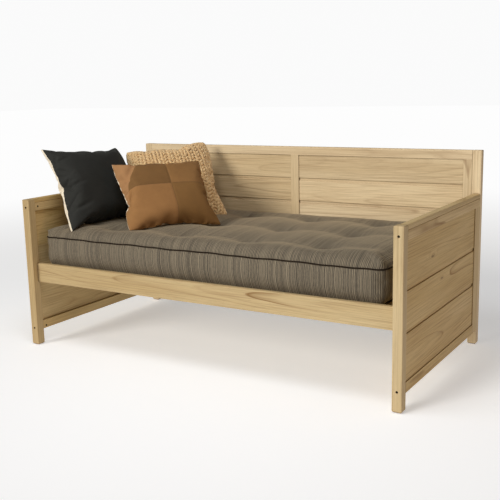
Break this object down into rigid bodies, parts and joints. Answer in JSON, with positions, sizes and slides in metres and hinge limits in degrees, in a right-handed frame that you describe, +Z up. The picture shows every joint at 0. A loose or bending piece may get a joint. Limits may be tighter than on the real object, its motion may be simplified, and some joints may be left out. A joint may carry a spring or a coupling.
{
  "type": "daybed",
  "caption": "Wooden daybed with boarded arms and back, a slatted base with storage space below, a tufted mattress and loose throw pillows.",
  "frame": {"origin": "on the floor under the middle of the bed, halfway along its length and its depth", "axes": "+X along the length to the right as seen from the front, -Y towards the front, +Z up"},
  "size_m": [2.03, 1.058, 0.9924],
  "materials": {
    "post_wood": "matte",
    "rail_wood": "matte",
    "board_wood": "matte",
    "slat_wood": "matte",
    "dowel_beech": "matte",
    "black_steel": "satin",
    "zinc_steel": "satin",
    "mattress_cover": "matte",
    "charcoal_cloth": "matte",
    "oat_knit": "matte",
    "tan_suede": "matte"
  },
  "bodies": {
    "frame": {"front_post_left": "post_wood", "back_post_left": "post_wood", "arm_cap_left": "rail_wood", "arm_top_rail_left": "rail_wood", "arm_bottom_rail_left": "rail_wood", "arm_rear_stile_left": "rail_wood", "arm_board_upper_left": "board_wood", "arm_board_middle_left": "board_wood", "arm_board_lower_left": "board_wood", "front_post_right": "post_wood", "back_post_right": "post_wood", "arm_cap_right": "rail_wood", "arm_top_rail_right": "rail_wood", "arm_bottom_rail_right": "rail_wood", "arm_rear_stile_right": "rail_wood", "arm_board_upper_right": "board_wood", "arm_board_middle_right": "board_wood", "arm_board_lower_right": "board_wood", "back_top_rail": "rail_wood", "back_bottom_rail": "rail_wood", "back_stile_left": "rail_wood", "back_stile_centre": "rail_wood", "back_stile_right": "rail_wood", "front_rail": "rail_wood", "back_board_left_1": "board_wood", "back_board_left_2": "board_wood", "back_board_left_3": "board_wood", "back_board_left_4": "board_wood", "back_board_right_1": "board_wood", "back_board_right_2": "board_wood", "back_board_right_3": "board_wood", "back_board_right_4": "board_wood", "slat_ledger_front": "slat_wood", "slat_ledger_back": "slat_wood", "slat_01": "slat_wood", "slat_02": "slat_wood", "slat_03": "slat_wood", "slat_04": "slat_wood", "slat_05": "slat_wood", "slat_06": "slat_wood", "slat_07": "slat_wood", "slat_08": "slat_wood", "slat_09": "slat_wood", "slat_10": "slat_wood", "slat_11": "slat_wood", "slat_12": "slat_wood", "dowels": "dowel_beech", "post_bolts": "black_steel", "barrel_nuts": "black_steel", "rail_hook_plates": "zinc_steel", "slat_screws": "zinc_steel", "ledger_screws": "zinc_steel"},
    "mattress": {"mattress": "mattress_cover"},
    "charcoal_pillow": {"charcoal_pillow": "charcoal_cloth"},
    "knit_pillow": {"knit_pillow": "oat_knit"},
    "suede_pillow": {"suede_pillow": "tan_suede"}
  },
  "joints": [
    {"name": "mattress_lift", "type": "slide", "parent": "frame", "child": "mattress", "axis": [0, 0, 1], "range_m": [0, 0.62]},
    {"name": "charcoal_lift", "type": "slide", "parent": "mattress", "child": "charcoal_pillow", "axis": [0, 0, 1], "range_m": [0, 0.42]},
    {"name": "knit_lift", "type": "slide", "parent": "charcoal_pillow", "child": "knit_pillow", "axis": [0, 0, 1], "range_m": [0, 0.42]},
    {"name": "suede_lift", "type": "slide", "parent": "knit_pillow", "child": "suede_pillow", "axis": [0, 0, 1], "range_m": [0, 0.42]}
  ]
}
